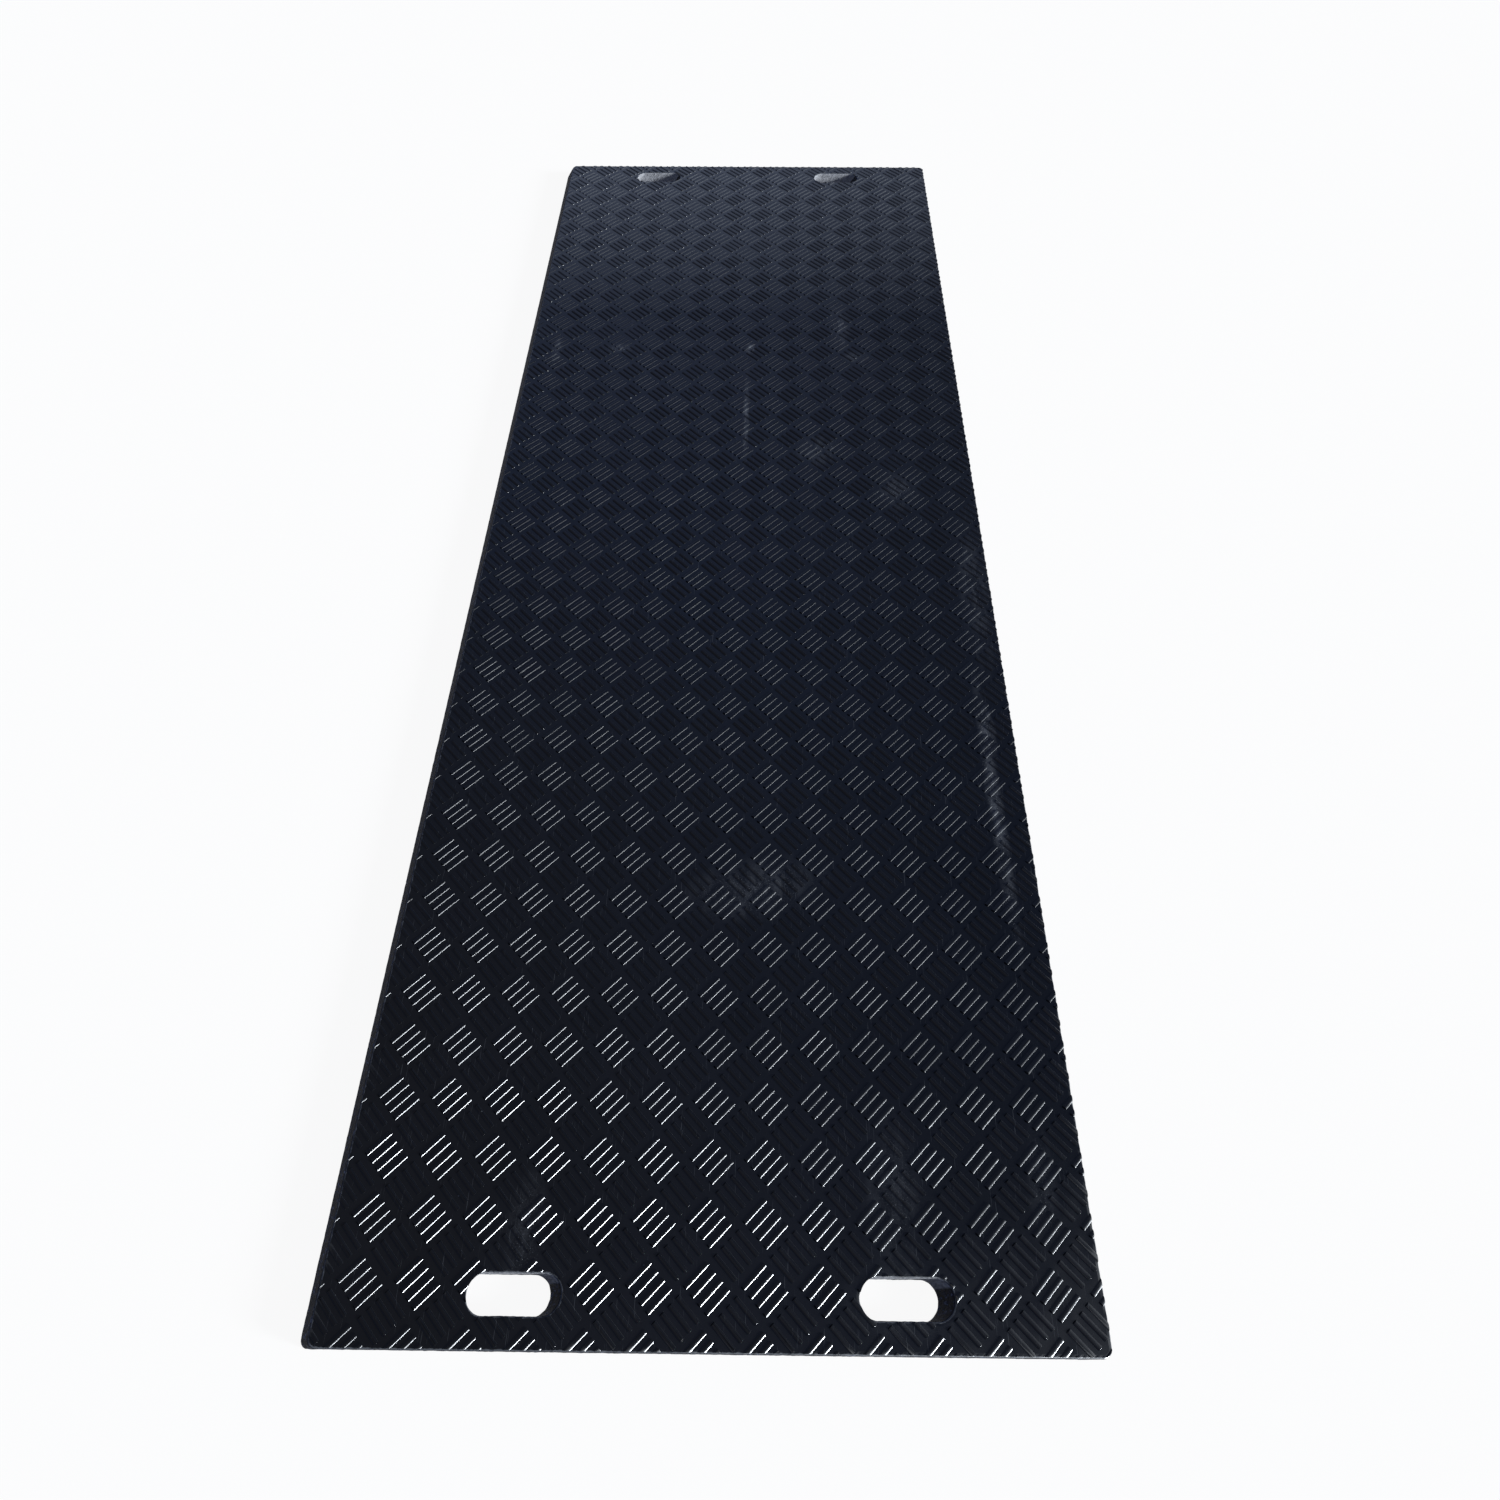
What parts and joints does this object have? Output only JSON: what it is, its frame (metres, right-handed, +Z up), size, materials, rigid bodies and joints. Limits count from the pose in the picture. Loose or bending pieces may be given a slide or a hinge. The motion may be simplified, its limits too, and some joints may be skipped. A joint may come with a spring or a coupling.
{
  "type": "ground protection mat",
  "caption": "Flat rectangular plastic ground protection mat with a raised bar tread on its top face and hand slots near both ends.",
  "frame": {"origin": "centre of the underside, on the floor", "axes": "+Y along the length, +X across the width, +Z up out of the tread side"},
  "size_m": [1, 2.8, 0.02],
  "materials": {
    "recycled_plastic": "pressed black recycled plastic, satin on the tread, rough and granular on the edges, with dust and scuffs"
  },
  "bodies": {
    "root": {"mat": "recycled_plastic"}
  },
  "joints": []
}
